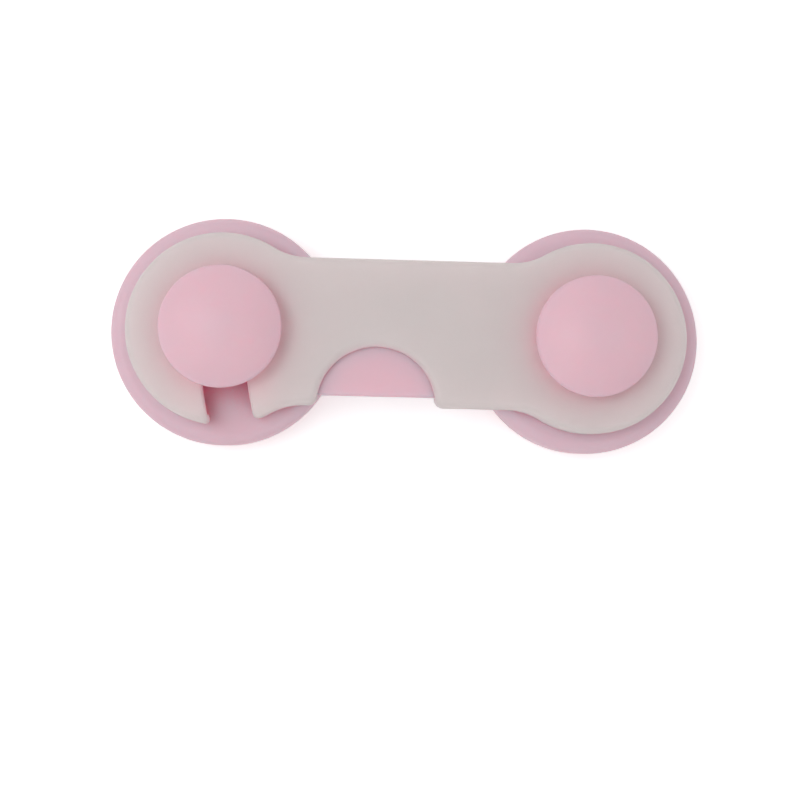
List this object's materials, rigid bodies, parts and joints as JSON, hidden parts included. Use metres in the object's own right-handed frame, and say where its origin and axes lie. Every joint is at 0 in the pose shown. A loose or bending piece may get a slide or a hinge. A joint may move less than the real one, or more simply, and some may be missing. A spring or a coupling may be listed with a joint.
{
  "type": "cabinet safety lock",
  "caption": "Stick-on cabinet safety lock: round bases with domed push buttons, joined by a flat pivoting arm whose slotted end latches over a post.",
  "frame": {"origin": "on the sticky faces of the pads, midway between the two posts", "axes": "+X along the lock from the latch end to the pivot end, +Y towards the arm's closed long edge, +Z away from the door"},
  "size_m": [0.0752, 0.029, 0.0168],
  "materials": {
    "pink_plastic": "satin moulded polypropylene",
    "frosted_plastic": "frosted natural polypropylene",
    "white_acetal": "smooth turned or moulded acetal",
    "white_foam": "closed-cell foam tape",
    "spring_steel": "drawn and rolled spring steel",
    "zinc_plate": "bright zinc plate"
  },
  "bodies": {
    "bases": {"latch_pad": "white_foam", "pivot_pad": "white_foam", "latch_plate": "pink_plastic", "pivot_plate": "pink_plastic", "latch_base": "pink_plastic", "pivot_base": "pink_plastic", "latch_post": "white_acetal", "pivot_post": "white_acetal", "latch_spring": "spring_steel", "pivot_spring": "spring_steel", "catch_leaf": "spring_steel", "catch_screw": "zinc_plate"},
    "arm": {"arm_shell": "frosted_plastic", "arm_core": "pink_plastic"},
    "latch_button": {"latch_button": "pink_plastic", "latch_washer": "zinc_plate", "latch_screw": "zinc_plate"},
    "pivot_button": {"pivot_button": "pink_plastic", "pivot_washer": "zinc_plate", "pivot_screw": "zinc_plate"}
  },
  "joints": [
    {"name": "arm_swing", "type": "hinge", "parent": "bases", "child": "arm", "pos_m": [0.0231, 0, 0], "axis": [0, 0, -1], "range_deg": [0, 340], "deforming": ["catch_leaf"]},
    {"name": "latch_press", "type": "slide", "parent": "bases", "child": "latch_button", "axis": [0, 0, -1], "range_m": [0, 0.0018], "stiffness_N_per_m": 600, "springref_m": -0.004, "deforming": ["latch_spring", "catch_leaf"]},
    {"name": "pivot_press", "type": "slide", "parent": "bases", "child": "pivot_button", "axis": [0, 0, -1], "range_m": [0, 0.0018], "stiffness_N_per_m": 600, "springref_m": -0.004, "deforming": ["pivot_spring"]}
  ]
}
